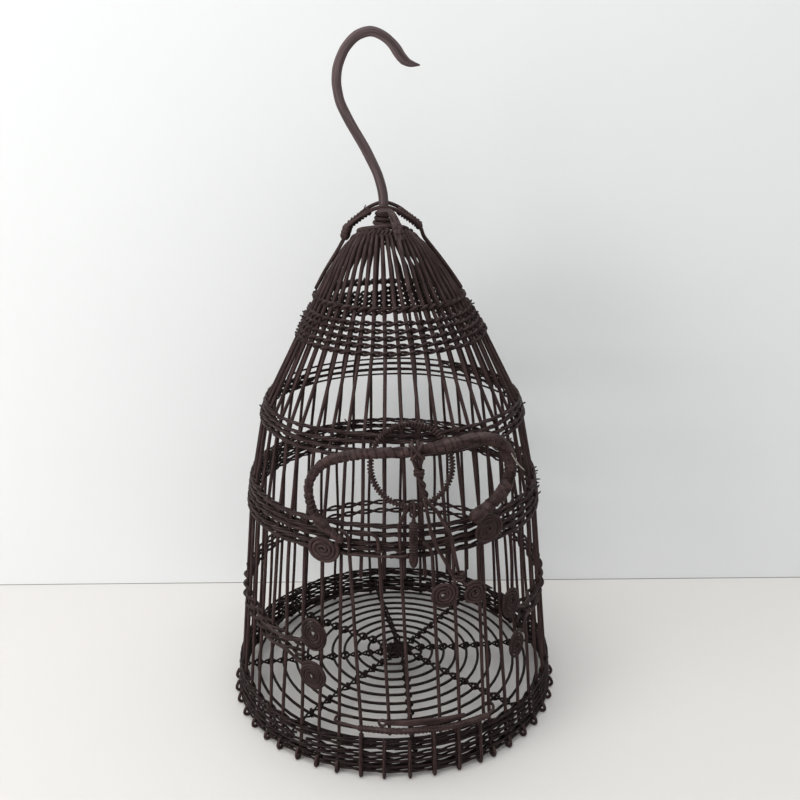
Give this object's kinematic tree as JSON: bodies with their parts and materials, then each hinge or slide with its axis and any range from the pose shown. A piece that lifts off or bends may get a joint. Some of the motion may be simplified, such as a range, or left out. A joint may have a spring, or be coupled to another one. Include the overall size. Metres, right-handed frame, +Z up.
{
  "type": "bird cage",
  "caption": "Round woven cane bird cage narrowing to a crown with a large hook, a sliding barred door, a handle hoop, a pull ring, a peg and a latch strap.",
  "frame": {"origin": "centre of the foot circle, on the ground", "axes": "+Z up along the cage, -Y towards the front with the door, +X to the right as seen from the front"},
  "size_m": [0.3158, 0.3158, 0.604],
  "materials": {
    "stake_cane": "dark brown matte paint",
    "door_cane": "dark brown matte paint",
    "weaver_cane": "dark brown matte paint",
    "crown_cane": "dark brown matte paint",
    "floor_cane": "dark brown matte paint",
    "wrapped_cane": "dark brown matte paint",
    "hook_wood": "dark brown matte paint",
    "peg_wood": "dark brown matte paint"
  },
  "bodies": {
    "cage": {"stake_pair_01": "stake_cane", "stake_pair_02": "stake_cane", "stake_pair_03": "stake_cane", "stake_pair_04": "stake_cane", "stake_pair_05": "stake_cane", "stake_pair_06": "stake_cane", "stake_pair_07": "stake_cane", "stake_pair_08": "stake_cane", "stake_pair_09": "stake_cane", "stake_pair_10": "stake_cane", "stake_pair_11": "stake_cane", "stake_pair_12": "stake_cane", "stake_pair_13": "stake_cane", "stake_pair_14": "stake_cane", "stake_pair_15": "stake_cane", "stake_pair_16": "stake_cane", "stake_pair_17": "stake_cane", "stake_pair_18": "stake_cane", "stake_pair_19": "stake_cane", "stake_pair_20": "stake_cane", "stake_pair_21": "stake_cane", "stake_pair_22": "stake_cane", "stake_pair_23": "stake_cane", "stake_pair_24": "stake_cane", "rim_stub_1": "stake_cane", "rim_stub_2": "stake_cane", "rim_stub_3": "stake_cane", "rim_stub_4": "stake_cane", "rim_stub_5": "stake_cane", "rim_stub_6": "stake_cane", "rim_weave": "weaver_cane", "lower_band_top_weaver": "weaver_cane", "lower_band_bottom_weaver": "weaver_cane", "middle_band": "weaver_cane", "upper_band": "weaver_cane", "crown_band": "weaver_cane", "crown_border": "crown_cane", "crown_ring": "crown_cane", "arch_cane_front": "crown_cane", "arch_cane_rear": "crown_cane", "crown_front_strap": "crown_cane", "floor_coil": "floor_cane", "floor_spokes": "floor_cane", "handle_hoop": "wrapped_cane", "door_keeper": "wrapped_cane"},
    "hook": {"hook": "hook_wood", "hook_collar": "wrapped_cane"},
    "door": {"door_bar_1": "door_cane", "door_bar_2": "door_cane", "door_bar_3": "door_cane", "door_bar_4": "door_cane", "door_bar_5": "door_cane", "door_bar_6": "door_cane", "door_bottom_rail": "wrapped_cane", "door_cross_strap": "wrapped_cane", "ring_link": "wrapped_cane"},
    "pull_ring": {"pull_ring": "wrapped_cane"},
    "door_peg": {"door_peg": "peg_wood"},
    "latch_strap": {"latch_strap": "wrapped_cane"}
  },
  "joints": [
    {"name": "hook_swivel", "type": "hinge", "parent": "cage", "child": "hook", "pos_m": [-0.006, 0, 0.45], "axis": [0, 0, 1], "continuous": true},
    {"name": "door_slide", "type": "slide", "parent": "cage", "child": "door", "axis": [-0.0448, 0.0945, 0.9945], "range_m": [0, 0.1]},
    {"name": "pull_ring_tilt", "type": "hinge", "parent": "door", "child": "pull_ring", "pos_m": [0.01597, -0.13815, 0.2449], "axis": [0.9934, 0.1148, 0], "range_deg": [0, 18]},
    {"name": "door_peg_swing", "type": "hinge", "parent": "door", "child": "door_peg", "pos_m": [0.01597, -0.13815, 0.2435], "axis": [-0.9934, -0.1148, 0], "range_deg": [0, 50]},
    {"name": "latch_strap_swing", "type": "hinge", "parent": "cage", "child": "latch_strap", "pos_m": [0.0178, -0.14722, 0.29505], "axis": [-0.9776, -0.1803, -0.1083], "range_deg": [0, 100]}
  ]
}
